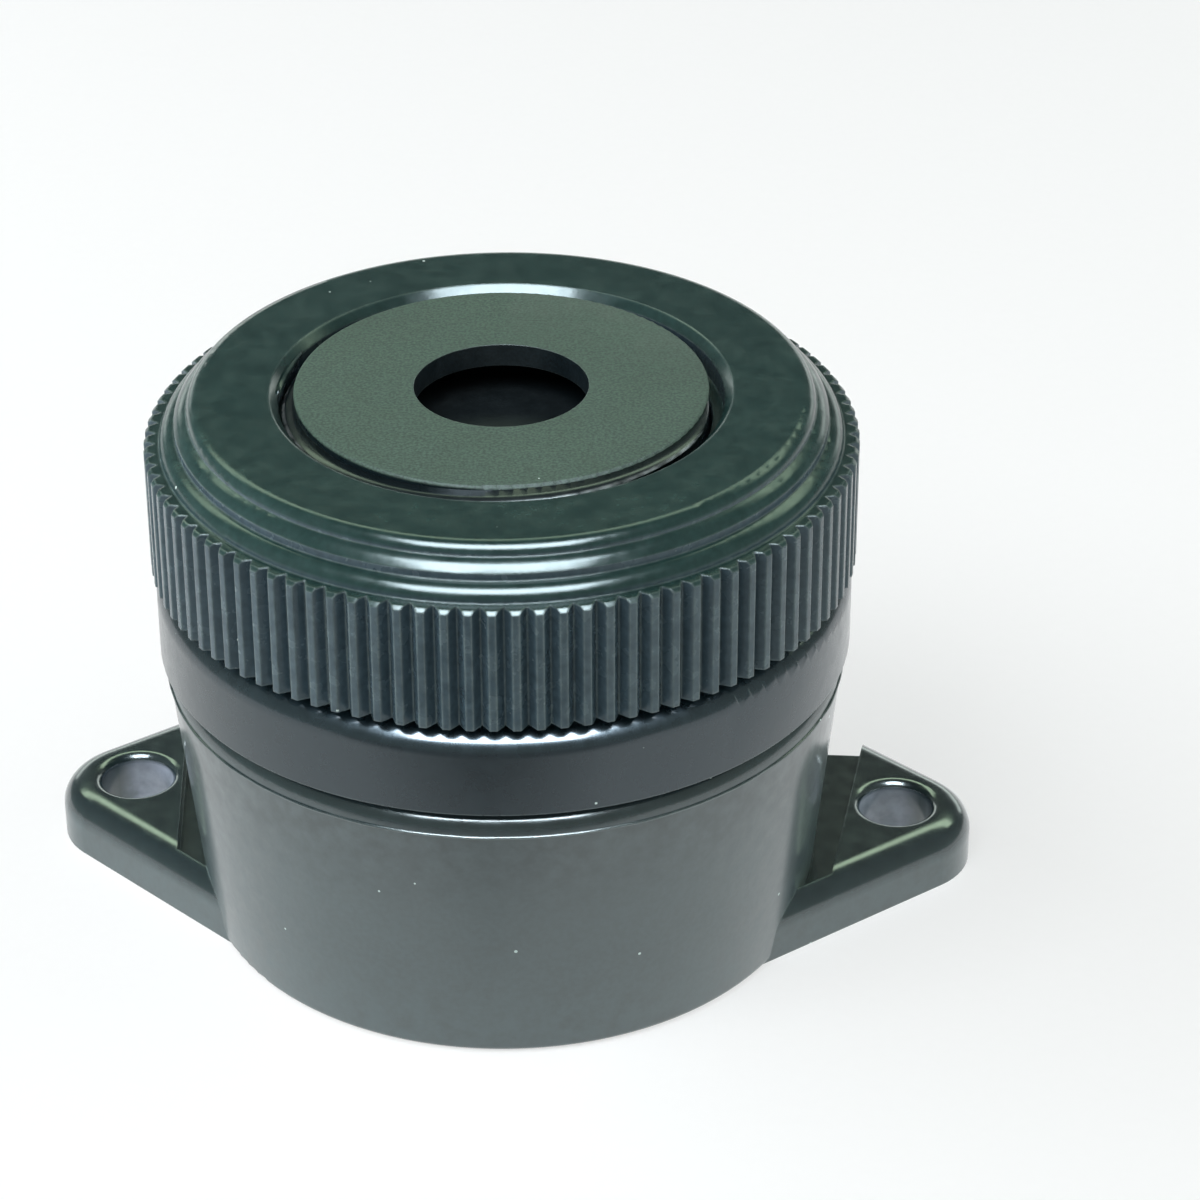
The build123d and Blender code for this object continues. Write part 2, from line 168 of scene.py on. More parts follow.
# %% Colour the paper
paper_dark, paper_light = "#efefef", "#f5f5f5"
fibre_size = 0.6
white_share = 0.6
shade_near, shade_far, shade_depth = -16, -42, 0.7
shade_spread = 0.8

paper_white = bpy.data.materials.new("paper_white")
paper_white.use_nodes = True
tree = paper_white.node_tree
tree.nodes.clear()
place = place_in_mm(tree)
fibre = add(tree, "ShaderNodeTexNoise", {"Vector": place, "Scale": 1 / fibre_size, "Detail": 3.0})
tone = add(tree, "ShaderNodeMix", {0: fibre, 6: linear(paper_dark), 7: linear(paper_light)},
           data_type="RGBA")
matt = add(tree, "ShaderNodeBsdfDiffuse", {"Color": tone})

ray = add(tree, "ShaderNodeLightPath").outputs
spot = add(tree, "ShaderNodeSeparateXYZ", {0: place}).outputs
aside = add(tree, "ShaderNodeMath", {0: spot["X"]}, operation="ABSOLUTE")
ahead = add(tree, "ShaderNodeMath", {0: aside, 1: shade_spread, 2: spot["Y"]}, operation="MULTIPLY_ADD")
shade = add(tree, "ShaderNodeMapRange", {"Value": ahead, "From Min": shade_far, "From Max": shade_near,
                                         "To Min": shade_depth, "To Max": 0.0})
shade = add(tree, "ShaderNodeMath", {0: shade, 1: ray["Is Glossy Ray"]}, operation="MULTIPLY")
level = add(tree, "ShaderNodeMath", {0: 1.0, 1: shade}, operation="SUBTRACT")
glow = add(tree, "ShaderNodeEmission", {"Color": linear("#ffffff"), "Strength": level})

mirrored = add(tree, "ShaderNodeMath", {0: ray["Is Glossy Ray"], 1: ray["Is Transmission Ray"]},
               operation="MAXIMUM")
seen = add(tree, "ShaderNodeMath", {0: ray["Is Camera Ray"], 1: white_share}, operation="MULTIPLY")
share = add(tree, "ShaderNodeMath", {0: mirrored, 1: seen}, operation="MAXIMUM")
blend = add(tree, "ShaderNodeMixShader", {0: share, 1: matt, 2: glow})
add(tree, "ShaderNodeOutputMaterial", {"Surface": blend})
paper_mesh.materials.append(paper_white)
print("paper fibre", fibre_size, "mm, shade from", -shade_near, "to", -shade_far, "mm in front")

# %% [markdown]
# ## Room
# The room is a soft grey light from all sides, a little dimmer towards the top and behind. Flat
# faces that look up mirror that part of it, and they stay dark, as black plastic should.

# %% Light the room
light_low, light_high, high_at = 0.45, 0.28, 0.7
behind_share, behind_at = 0.45, 0.8
room_white = "#eefbf6"

world = bpy.data.worlds.new("studio")
bpy.context.scene.world = world
world.use_nodes = True
tree = world.node_tree
tree.nodes.clear()
sky = add(tree, "ShaderNodeTexCoord").outputs["Generated"]
sky = add(tree, "ShaderNodeSeparateXYZ", {0: sky}).outputs
height = add(tree, "ShaderNodeMapRange", {"Value": sky["Z"], "From Min": 0.0, "From Max": high_at,
                                          "To Min": light_low, "To Max": light_high})
behind = add(tree, "ShaderNodeMapRange", {"Value": sky["Y"], "From Min": 0.0, "From Max": behind_at,
                                          "To Min": 1.0, "To Max": behind_share})
level = add(tree, "ShaderNodeMath", {0: height, 1: behind}, operation="MULTIPLY")
room = add(tree, "ShaderNodeBackground", {"Color": linear(room_white), "Strength": level})
add(tree, "ShaderNodeOutputWorld", {"Surface": room})
print("room dims to", round(light_high / light_low, 2), "of its light overhead")

# %% [markdown]
# ## Lamps
# A studio lights black plastic twice: softly from the sides for its colour, and with white cards
# for the lines that run along its edges. The same lamps could do both jobs, but then neither could
# be set without the other. So three soft boxes are seen by matt surfaces only, and three cards
# only by gloss: one high in front for the rounded fronts, one high behind that draws a line along
# both ears, and one low behind for the near rims of the holes. How bright a lamp looks matters
# here, not its power, which is four times that brightness times its area.

# %% Hang the lamps
dome_radius = 250 * MM
dome_middle = Vector((0, 0, 15)) * MM


def soft_box(name, azimuth, rise, size, radiance, colour, seen_by):
    """Rectangular lamp on a dome about the part, facing its middle. Its size is in degrees."""
    lamp = bpy.data.lights.new(name, "AREA")
    lamp.shape = "RECTANGLE"
    lamp.size, lamp.size_y = [2 * dome_radius * math.tan(math.radians(span) / 2) for span in size]
    lamp.energy = radiance * 4 * lamp.size * lamp.size_y
    lamp.color = linear(colour)[:3]
    body = bpy.data.objects.new(name, lamp)
    across, lift = math.radians(azimuth), math.radians(rise)
    level = math.cos(lift)
    towards = Vector((math.cos(across) * level, math.sin(across) * level, math.sin(lift)))
    body.location = dome_middle + towards * dome_radius
    body.rotation_euler = towards.to_track_quat("Z", "Y").to_euler()
    body.visible_diffuse = seen_by == "matt"
    body.visible_glossy = seen_by == "gloss"
    bpy.context.scene.collection.objects.link(body)
    print(name, "at mm:", [round(v / MM) for v in body.location])


soft_box("key_box", -125, 55, (32, 32), 4.4, "#fbfdff", "matt")
soft_box("left_fill", 178, 14, (60, 36), 5.2, "#f8fdff", "matt")
soft_box("right_fill", 8, 14, (50, 36), 2.9, "#f8fffa", "matt")
soft_box("front_card", -88, 58, (46, 32), 25.0, "#f0f6ff", "gloss")
soft_box("back_card", 90, 50, (90, 15), 3.2, "#dcf0d0", "gloss")
soft_box("low_card", 90, 8, (80, 12), 1.6, "#f4fbf6", "gloss")

# %% [markdown]
# ## Black ABS
# The housing, the nut and the base are all black ABS, a tough plastic with a refractive index of about
# 1.5. What differs is the steel that each was moulded against: spark-eroded steel leaves a matt grain,
# polished steel a gloss, and walls slide along the steel as the part leaves it, which draws them dull.
# Walls are also given a tone of their own, which on the base and the nut is paler. That paler tone is
# painted light for the bright paper and side lamps that walls face, while flat faces mirror the dim room.
# So the finish of a point depends on where it is and how upright the surface is there, and one material
# made of small steps can serve all of them.

# %% Where a point is
upright_from, upright_to = 0.4, 0.02


def locate(tree):
    """Place in mm, height, distance from the axis, surface normal, and how upright the surface is."""
    place = place_in_mm(tree)
    parts = add(tree, "ShaderNodeSeparateXYZ", {0: place}).outputs
    flat = add(tree, "ShaderNodeCombineXYZ", {"X": parts["X"], "Y": parts["Y"]})
    normal = add(tree, "ShaderNodeNewGeometry").outputs["Normal"]
    facing = add(tree, "ShaderNodeSeparateXYZ", {0: normal}).outputs["Z"]
    return {
        "mm": place,
        "x": parts["X"],
        "y": parts["Y"],
        "height": parts["Z"],
        "radius": add(tree, "ShaderNodeVectorMath", {0: flat}, operation="LENGTH"),
        "normal": normal,
        "upright": add(tree, "ShaderNodeMapRange", {"Value": facing, "From Min": upright_from,
                                                    "From Max": upright_to}),
    }


print("faces steeper than", round(math.degrees(math.acos(upright_from))), "degrees count as walls")

# %% [markdown]
# Moulded plastic is never one flat colour. It has slow clouds from the way it flowed, smears from
# handling, and the grain of the steel. Noise of three sizes gives these. Its values crowd about
# the middle, so it is stretched from there. The tone shifts by no more than about an eighth, since
# more would look like stone.

# %% Clouds, smears and grain
cloud_size = 3.5
smear_size = 0.8
tone_swing = 0.13
wide_low, wide_high = 0.3, 0.7
narrow_low, narrow_high = 0.35, 0.65


def add_noises(tree, at, grain_size):
    """Slow clouds, smears, and the grain of the steel."""
    return [
        add(tree, "ShaderNodeTexNoise", {"Vector": at["mm"], "Scale": 1 / size, "Detail": detail})
        for size, detail in ((cloud_size, 4.0), (smear_size, 3.0), (grain_size, 2.0))
    ]


def add_skin(tree, at, noises, face, wall, speckle):
    """Colour of flat faces and walls, the walls' own tone partly painted light, with its uneven tone."""
    cloud, smear, grain = noises
    # Walls get a tone of their own. On the base and the nut it is paler: painted light for the bright
    # paper and side lamps that walls face.
    skin = add(tree, "ShaderNodeMix", {0: at["upright"], 6: linear(face), 7: linear(wall)},
               data_type="RGBA")
    spread = add(tree, "ShaderNodeMath", {0: cloud, 1: smear}, operation="ADD")
    tone = add(tree, "ShaderNodeMapRange", {"Value": spread, "From Min": 2 * wide_low,
                                            "From Max": 2 * wide_high, "To Min": 1 - tone_swing,
                                            "To Max": 1 + tone_swing})
    specks = add(tree, "ShaderNodeMapRange", {"Value": grain, "From Min": narrow_low,
                                              "From Max": narrow_high, "To Min": 1 - speckle,
                                              "To Max": 1 + speckle})
    tone = add(tree, "ShaderNodeMath", {0: tone, 1: specks}, operation="MULTIPLY")
    return add(tree, "ShaderNodeMix", {0: 1.0, 6: skin, 7: tone}, data_type="RGBA", blend_type="MULTIPLY")


print("clouds", cloud_size, "mm, smears", smear_size, "mm")

# %% [markdown]
# Hands, tools and other parts rub some places paler. The same soft bands also carry painted shade and
# painted light: darker under the lip where shade falls, paler towards the foot where the wall mirrors the
# bright paper, and paler on crests that catch a highlight. A band lies either at a distance from the axis
# or at a height on the walls, broken into patches by the smears.

# %% Rubbed bands
def add_rub_and_painted_band(tree, at, smear, skin, along, low, high, colour, share):
    """Soft, patchy band of another colour between two distances or two heights in mm."""
    middle, half = (low + high) / 2, (high - low) / 2
    off = add(tree, "ShaderNodeMath", {0: at[along], 1: middle}, operation="SUBTRACT")
    off = add(tree, "ShaderNodeMath", {0: off}, operation="ABSOLUTE")
    reach = add(tree, "ShaderNodeMapRange", {"Value": off, "From Min": half, "From Max": 0.0,
                                             "To Max": share})
    if along == "height":
        reach = add(tree, "ShaderNodeMath", {0: reach, 1: at["upright"]}, operation="MULTIPLY")
    patchy = add(tree, "ShaderNodeMapRange", {"Value": smear, "From Min": narrow_low,
                                              "From Max": narrow_high})
    patchy = add(tree, "ShaderNodeMath", {0: reach, 1: patchy}, operation="MULTIPLY")
    return add(tree, "ShaderNodeMix", {0: patchy, 6: skin, 7: linear(colour)}, data_type="RGBA")


print("rubs lie at a radius or at a height")

# %% [markdown]
# The walls of the two ear holes are short and lie open to the white paper. So they are painted pale, as
# painted light from the paper, and left dark on each hole's outer side as painted shade. X is folded
# over, so that one place on the right-hand ear serves both.

# %% Painted light in the bores
bore_light_fade = (1.1, 0.3)


def add_painted_bore_light(tree, at, skin, middle, reach, colour):
    """Painted light on upright walls within reach of a hole's middle, left out on the hole's outer side
    as painted shade.
    """
    across = add(tree, "ShaderNodeMath", {0: at["x"]}, operation="ABSOLUTE")
    folded = add(tree, "ShaderNodeCombineXYZ", {"X": across, "Y": at["y"]})
    apart = add(tree, "ShaderNodeVectorMath", {0: folded, 1: (*middle, 0.0)}, operation="DISTANCE")
    inside = add(tree, "ShaderNodeMath", {0: apart, 1: reach}, operation="LESS_THAN")
    inside = add(tree, "ShaderNodeMath", {0: inside, 1: at["upright"]}, operation="MULTIPLY")
    inner = add(tree, "ShaderNodeMapRange", {"Value": across, "From Min": middle[0] + bore_light_fade[0],
                                             "From Max": middle[0] + bore_light_fade[1]})
    inside = add(tree, "ShaderNodeMath", {0: inside, 1: inner}, operation="MULTIPLY")
    return add(tree, "ShaderNodeMix", {0: inside, 6: skin, 7: linear(colour)}, data_type="RGBA")


print("bores fade out from", bore_light_fade[1], "to", bore_light_fade[0], "mm past their middle")

# %% [markdown]
# Sharp edges are painted paler, partly because they wear and whiten first, and partly as a painted
# highlight along them. The bevel node gives the normal the surface would have with its edges rounded, and
# where that differs from the true one there is an edge. The same rounded normal also goes to the shader,
# so that edges catch a fine line of light.

# %% Worn edges and painted edge highlights
edge_starts, edge_full = 0.995, 0.9
edge_share = 0.5
edge_wear_and_highlight_white = "#8d9c98"


def add_wear_and_highlight(tree, at, smear, skin, edge_width):
    """Colour whitened along edges, partly wear and partly painted highlight, and the normal with its
    edges rounded.
    """
    soft = add(tree, "ShaderNodeBevel", {"Radius": edge_width * MM}, samples=4)
    bend = add(tree, "ShaderNodeVectorMath", {0: soft, 1: at["normal"]}, operation="DOT_PRODUCT")
    edge = add(tree, "ShaderNodeMapRange", {"Value": bend, "From Min": edge_starts, "From Max": edge_full,
                                            "To Max": edge_share})
    worn_and_lit = add(tree, "ShaderNodeMath", {0: edge, 1: smear}, operation="MULTIPLY")
    return add(tree, "ShaderNodeMix", {0: worn_and_lit, 6: skin, 7: linear(edge_wear_and_highlight_white)}, data_type="RGBA"), soft


# The paler edges are partly wear and partly painted highlight.
print("edges wear fully where they bend by", round(math.degrees(math.acos(edge_full))), "degrees")

# %% [markdown]
# Black plastic always gathers pale dust. Space is cut into cells of a millimetre and a half, some
# of them are chosen by their random colour, and a small dot of its own size is set in each.

# %% Dust
dust_cell = 1.5
dust_size = 0.09
dust_grey = "#b9c4c0"


def add_dust(tree, at, dust_share):
    """One where a speck of dust lies and zero elsewhere."""
    cell = add(tree, "ShaderNodeTexVoronoi", {"Vector": at["mm"], "Scale": 1 / dust_cell})
    lot = add(tree, "ShaderNodeSeparateXYZ", {0: cell.outputs["Color"]}).outputs
    chosen = add(tree, "ShaderNodeMath", {0: lot["X"], 1: dust_share}, operation="LESS_THAN")
    size = add(tree, "ShaderNodeMath", {0: lot["Y"], 1: dust_size / dust_cell}, operation="MULTIPLY")
    near = add(tree, "ShaderNodeMath", {0: cell.outputs["Distance"], 1: size}, operation="LESS_THAN")
    return add(tree, "ShaderNodeMath", {0: chosen, 1: near}, operation="MULTIPLY")


print("dust up to", dust_size, "mm from its middle")

# %% [markdown]
# The plastic itself puts these steps in order: colour first, then rubbed and painted bands, edges
# whitened by wear and painted highlight, and dust on top, and last the roughness and the relief that
# belong to them. The reflection is tinted very slightly towards green, unless a finish asks for a tint of
# its own.

# %% Moulded plastic
abs_index = 1.5
abs_tint, coat_tint = "#e6f6f6", "#f2fbfb"
smooth_swing, rough_swing = -0.04, 0.06


def moulded_abs(name, face, wall, grain_size, grain_depth, gloss, dust_share, edge_width, speckle=0.1,
                rubs_and_painted_bands=(), bore_light=None, **sockets):
    """Black ABS with its faces, walls, grain, rubbed and painted bands, worn and painted-highlight edges,
    and dust. Lengths are in mm.
    """
    material = bpy.data.materials.new(name)
    material.use_nodes = True
    tree = material.node_tree
    shader = tree.nodes["Principled BSDF"]
    shader.inputs["IOR"].default_value = abs_index
    shader.inputs["Specular Tint"].default_value = linear(abs_tint)
    shader.inputs["Coat Tint"].default_value = linear(coat_tint)
    for socket, value in sockets.items():
        shader.inputs[socket.replace("_", " ")].default_value = value

    at = locate(tree)
    noises = add_noises(tree, at, grain_size)
    smear, grain = noises[1:]
    skin = add_skin(tree, at, noises, face, wall, speckle)
    if bore_light:
        skin = add_painted_bore_light(tree, at, skin, *bore_light)
    for band_mark in rubs_and_painted_bands:
        skin = add_rub_and_painted_band(tree, at, smear, skin, *band_mark)
    skin, soft = add_wear_and_highlight(tree, at, smear, skin, edge_width)
    dust = add_dust(tree, at, dust_share)
    skin = add(tree, "ShaderNodeMix", {0: dust, 6: skin, 7: linear(dust_grey)}, data_type="RGBA")

    rough = add(tree, "ShaderNodeMapRange", {"Value": at["upright"], "To Min": gloss[0],
                                             "To Max": gloss[1]})
    uneven = add(tree, "ShaderNodeMapRange", {"Value": smear, "From Min": wide_low, "From Max": wide_high,
                                              "To Min": smooth_swing, "To Max": rough_swing})
    rough = add(tree, "ShaderNodeMath", {0: rough, 1: uneven})
    rough = add(tree, "ShaderNodeMath", {0: rough, 1: dust}, use_clamp=True)
    relief = add(tree, "ShaderNodeMath", {0: grain, 1: dust})
    bump = add(tree, "ShaderNodeBump", {"Height": relief, "Distance": grain_depth * MM, "Strength": 1.0,
                                        "Normal": soft})
    tree.links.new(skin.outputs[2], shader.inputs["Base Color"])
    tree.links.new(rough.outputs[0], shader.inputs["Roughness"])
    tree.links.new(bump.outputs[0], shader.inputs["Normal"])
    print("made", name, "with grain", grain_size, "mm")
    return material


# %% [markdown]
# The neck's face came off spark-eroded steel, so it is matt, grainy and greenish grey under soft
# light. The grain of such a face is about 0.03 mm and would not show, so it is drawn four times
# coarser. The band below the nut came off polished steel and has a clear, hard gloss like varnish,
# which the shader calls a coat.

# %% Neck and band
abs_neck = moulded_abs("abs_spark_eroded", "#2d4033", "#0b1317", 0.12, 0.015, (0.65, 0.4), 0.5, 0.06,
                       speckle=0.45)
abs_band = moulded_abs("abs_polished_band", "#0e181c", "#0d1619", 0.25, 0.003, (0.26, 0.28), 0.5, 0.1,
                       Specular_IOR_Level=0.8, Specular_Tint=linear("#c6deec"), Coat_Weight=0.45,
                       Coat_IOR=1.7, Coat_Roughness=0.14)

# %% [markdown]
# The nut is satin, and the crests of its knurl are a little paler, partly rubbed by fingers and partly a
# painted highlight. The base is the dullest on its walls. Under the lip its walls are painted darker, as
# painted shade, and towards the foot paler, as a painted reflection of the bright paper close by. Its
# ears are polished on top, and their holes are painted pale inside as painted light.

# %% Nut and base
nut_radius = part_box("ring_nut")[1][0] / MM
# Knurl crests painted paler: partly rubbed by fingers, partly a painted highlight.
crest_rub_and_highlight = ("radius", nut_radius - 0.12, nut_radius + 0.12, "#7f8d8d", 0.1)
abs_nut = moulded_abs("abs_satin_nut", "#1f3533", "#34424a", 0.3, 0.003, (0.19, 0.24), 0.65, 0.14,
                      rubs_and_painted_bands=[crest_rub_and_highlight])

ear_holes = next(mount for mount in frame["record"]["mounts"] if mount["name"] == "ear_holes")
ear_hole = (ear_holes["dims"]["spacing_x_mm"] / 2, ear_holes["pos_m"][1] / MM)
ear_hole_reach = ear_holes["dims"]["hole_r_mm"] + 0.15
# Painted shade on the walls under the lip.
painted_lip_shade = ("height", 7.0, 15.0, "#0c171b", 0.8)
# Painted reflection of the bright paper on the walls towards the foot.
painted_foot_reflection = ("height", -4.5, 4.5, "#3c494c", 0.6)
abs_base = moulded_abs("abs_drawn_base", "#0d1b1f", "#2e383b", 0.25, 0.004, (0.2, 0.42), 0.35, 0.12,
                       rubs_and_painted_bands=[painted_lip_shade, painted_foot_reflection], bore_light=(ear_hole, ear_hole_reach, "#a3a5b4"),
                       Specular_IOR_Level=0.8, Coat_Weight=0.7, Coat_IOR=1.7, Coat_Roughness=0.15)

# %% [markdown]
# The baffle lies in the dark of the sound hole and catches hardly any light, and it is painted darker
# than the housing as painted shade. The thread is the same plastic as the band, with its crest painted
# bright, partly rubbed where the nut has turned on it and partly a painted highlight.

# %% Baffle and thread crest
# Painted shade: the baffle's colour is darker than the housing's because it lies in the dark of the sound
# hole.
abs_baffle = moulded_abs("abs_baffle", "#0a1216", "#070c0f", 0.2, 0.006, (0.5, 0.5), 0.3, 0.08,
                         Specular_IOR_Level=0.2)

neck_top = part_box("front_housing")[1][2] / MM
neck_radius = max(
    math.hypot(v.co.x, v.co.y) / MM
    for v in nodes["front_housing"].data.vertices
    if v.co.z / MM > neck_top - 0.3
)
neck_crest = neck_radius + 0.5
# The thread crest is painted bright: partly rubbed by the nut, partly a painted highlight.
thread_rub_and_highlight = ("radius", neck_crest - 0.14, neck_crest + 0.14, "#e3eaec", 0.65)
abs_thread = moulded_abs("abs_thread_crest", "#10181b", "#1a2124", 0.25, 0.003, (0.22, 0.24), 0.5, 0.05,
                         rubs_and_painted_bands=[thread_rub_and_highlight])

# %% [markdown]
# ## What is inside and underneath
# The other finishes hide in the sealed can or show only from below. They are made all the same,
# because a library part gets cut open and turned over. Each is two near colours mixed by noise,
# with the noise stretched along the way the material was worked: round for cast and fired things,
# long for rolled sheet and drawn wire. Metals keep the shader's own refractive index.

# %% Two-tone finish
roughness_swing = 0.08


def two_tone(name, dark, light, grain_sizes, roughness, depth, **sockets):
    """Finish of two near colours in a stretched grain, with matching bump. Sizes are in mm."""
    material = bpy.data.materials.new(name)
    material.use_nodes = True
    tree = material.node_tree
    shader = tree.nodes["Principled BSDF"]
    for socket, value in sockets.items():
        shader.inputs[socket.replace("_", " ")].default_value = value
    scales = [1 / size for size in grain_sizes]
    stretch = add(tree, "ShaderNodeMapping", {"Vector": place_in_mm(tree), "Scale": scales})
    grain = add(tree, "ShaderNodeTexNoise", {"Vector": stretch, "Scale": 1.0, "Detail": 4.0})
    colour = add(tree, "ShaderNodeMix", {0: grain, 6: linear(dark), 7: linear(light)}, data_type="RGBA")
    rough = add(tree, "ShaderNodeMapRange", {"Value": grain, "To Min": roughness - roughness_swing,
                                             "To Max": roughness + roughness_swing})
    bump = add(tree, "ShaderNodeBump", {"Height": grain, "Distance": depth * MM})
    tree.links.new(colour.outputs[2], shader.inputs["Base Color"])
    tree.links.new(rough.outputs[0], shader.inputs["Roughness"])
    tree.links.new(bump.outputs[0], shader.inputs["Normal"])
    print("made", name)
    return material


# %% [markdown]
# The potting is black epoxy poured in and left to level, so it is glossy with a slow ripple. The
# silicone bead that seals the piezo disc is milky and soft, and the transistor is moulded epoxy
# with a dull, slightly sandy skin.

# %% Cast and poured finishes
epoxy = two_tone("epoxy_poured", "#111315", "#191c1f", (2.5, 2.5, 2.5), 0.18, 0.03, IOR=1.55)
silicone = two_tone("silicone_bead", "#cfcfca", "#e2e2dd", (0.8, 0.8, 0.8), 0.5, 0.02, IOR=1.41)
moulded_epoxy = two_tone("epoxy_moulded", "#16181a", "#222527", (0.12, 0.12, 0.12), 0.6, 0.01, IOR=1.55)

# %% [markdown]
# Brass sheet is rolled, which leaves fine lines along one way. The piezo ceramic is fired and not
# glazed, so it is chalky, and its electrode is silver paste, screen-printed and slightly bumpy.
# Ferrite is pressed and sintered powder, dark and dull.

# %% Sheet, ceramic and ferrite
brass = two_tone("brass_rolled", "#b5913f", "#d3ad58", (3.0, 0.1, 0.5), 0.28, 0.003, Metallic=1.0)
ceramic = two_tone("ceramic_fired", "#d3c7a4", "#e3d9bb", (0.3, 0.3, 0.3), 0.7, 0.008, IOR=1.6)
silver = two_tone("silver_printed", "#c2c2bc", "#dcdcd6", (0.2, 0.2, 0.2), 0.4, 0.006, Metallic=1.0)
ferrite = two_tone("ferrite_sintered", "#232527", "#313436", (0.15, 0.15, 0.15), 0.65, 0.01, IOR=1.6)

# %% [markdown]
# The board is glass-fibre laminate under a green solder mask, and the weave of the cloth shows
# through as a faint grid, so its grain is about the pitch of the yarns. Leads are copper dipped in
# tin, solder is brighter and rounder, and the coil is enamelled copper, laid in turns round Z.

# %% Board, leads, solder and wire
laminate = two_tone("laminate_masked", "#1f5a34", "#2d7245", (0.5, 0.5, 0.5), 0.35, 0.006, IOR=1.5)
tin = two_tone("tin_dipped", "#b4b4b0", "#d0d0cc", (0.15, 0.15, 0.8), 0.25, 0.004, Metallic=1.0)
solder = two_tone("solder_flowed", "#b9bcbe", "#d9dcdd", (0.4, 0.4, 0.4), 0.2, 0.01, Metallic=1.0)
copper = two_tone("copper_enamelled", "#8a4526", "#c06a3c", (3.0, 3.0, 0.12), 0.3, 0.02, Metallic=1.0)

# %% [markdown]
# The resistors wear a beige lacquer, the diode is a bead of orange glass, and the three wires have
# extruded insulation with long, soft streaks. The glass lets most light through, which the shader
# calls transmission.

# %% Lacquer, glass and insulation
lacquer = two_tone("lacquer_beige", "#b3946a", "#cbae84", (0.4, 0.4, 0.4), 0.3, 0.008, IOR=1.5)
glass = two_tone("glass_orange", "#c9702f", "#dd8746", (0.8, 0.8, 0.8), 0.12, 0.002, IOR=1.52,
                 Transmission_Weight=0.7)
red_pvc = two_tone("pvc_red", "#a3201b", "#bd2f28", (0.3, 0.3, 1.5), 0.4, 0.005, IOR=1.53)
blue_pvc = two_tone("pvc_blue", "#1f3f8f", "#2c52ab", (0.3, 0.3, 1.5), 0.4, 0.005, IOR=1.53)
black_pvc = two_tone("pvc_black", "#151617", "#232526", (0.3, 0.3, 1.5), 0.4, 0.005, IOR=1.53)

# %% [markdown]
# ## Dress the solids
# The imported record says which slot each solid was given. A table from slot to finish dresses them all
# in one loop. The baffle shares the housing's slot, but it gets its own finish of the same plastic,
# painted darker as painted shade and less glossy.

# %% Give every solid its finish
finishes = {
    "housing_plastic": abs_band,
    "nut_plastic": abs_nut,
    "base_plastic": abs_base,
    "epoxy": epoxy,
    "brass_sheet": brass,
    "piezo_ceramic": ceramic,
    "silver_film": silver,
    "silicone": silicone,
    "board_laminate": laminate,
    "moulded_epoxy": moulded_epoxy,
    "ferrite": ferrite,
    "copper_wire": copper,
    "resistor_film": lacquer,
    "diode_glass": glass,
    "tinned_metal": tin,
    "solder": solder,
    "red_insulation": red_pvc,
    "blue_insulation": blue_pvc,
    "black_insulation": black_pvc,
}
for part in frame["record"]["subparts"]:
    finish = abs_baffle if part["node"] == "baffle_plate" else finishes[part["material_slot"]]
    for slot in nodes[part["node"]].material_slots:
        slot.material = finish

# %% [markdown]
# ## New pieces
# Whatever is modelled here is laid over the solids, so it is built in their frame, rides on the root body
# and wears the finishes it is given. One function does that for every new piece, and shades its faces
# smooth.

# %% Place a new piece
def add_piece(name, mesh, finishes):
    """Make an object of a finished bmesh, dress it, and let it ride on the body."""
    data = bpy.data.meshes.new(name)
    mesh.to_mesh(data)
    mesh.free()
    for finish in finishes:
        data.materials.append(finish)
    for face in data.polygons:
        face.use_smooth = True
    piece = bpy.data.objects.new(name, data)
    bpy.context.scene.collection.objects.link(piece)
    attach(piece, "root")
    print(name, "has", len(data.polygons), "faces")
    return piece


# %% [markdown]
# ## Front housing, seen close
# On the real part the nut stops a little short of the band below it, and the band's rounded
# shoulder shows in that gap as a bright line. The solid keeps the two in contact, so that it can
# carry the nut. To see the gap, the housing's mesh is copied and the points of its shoulder are
# moved onto a lower, rounder arc. Each point keeps its own angle on the arc, so the surface stays
# smooth.

# %% Lower and round the shoulder
shoulder_drop = 0.42
shoulder_round = 1.0
solid_round = 0.5
slack = 0.01
weld = 1e-7
band_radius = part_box("front_housing")[1][0] / MM
band_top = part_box("ring_nut")[0][2] / MM

housing = bmesh.new()
housing.from_mesh(nodes["front_housing"].data)
bmesh.ops.remove_doubles(housing, verts=housing.verts, dist=weld)
moved = 0
for v in housing.verts:
    out = math.hypot(v.co.x, v.co.y) / MM
    rise = v.co.z / MM
    outside = out > band_radius - solid_round - slack
    if outside and band_top - solid_round - slack < rise < band_top + slack:
        angle = math.atan2(rise - band_top + solid_round, out - band_radius + solid_round)
        new_out = band_radius - shoulder_round + shoulder_round * math.cos(angle)
        v.co.x *= new_out / out
        v.co.y *= new_out / out
        v.co.z = (band_top - shoulder_drop - shoulder_round + shoulder_round * math.sin(angle)) * MM
        moved += 1
print("moved", moved, "points; band radius", round(band_radius, 2))

# %% [markdown]
# The shell has two finishes. The neck's face and its rim are spark-eroded, and all below them is
# polished. The copied mesh also brings the solid's own shading normals, which no longer fit the
# moved shoulder. They are taken off, and edges that bend by more than a given angle stay sharp.

# %% Dress the shell
face_depth = 1.2
sharp_angle = 30
for face in housing.faces:
    face.material_index = 0 if face.calc_center_median().z / MM > neck_top - face_depth else 1
front_shell = add_piece("front_housing_shell", housing, [abs_neck, abs_band])
if "custom_normal" in front_shell.data.attributes:
    front_shell.data.attributes.remove(front_shell.data.attributes["custom_normal"])
front_shell.data.set_sharp_from_angle(angle=math.radians(sharp_angle))
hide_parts("front_housing")
print("spark-eroded above", round(neck_top - face_depth, 2), "mm")

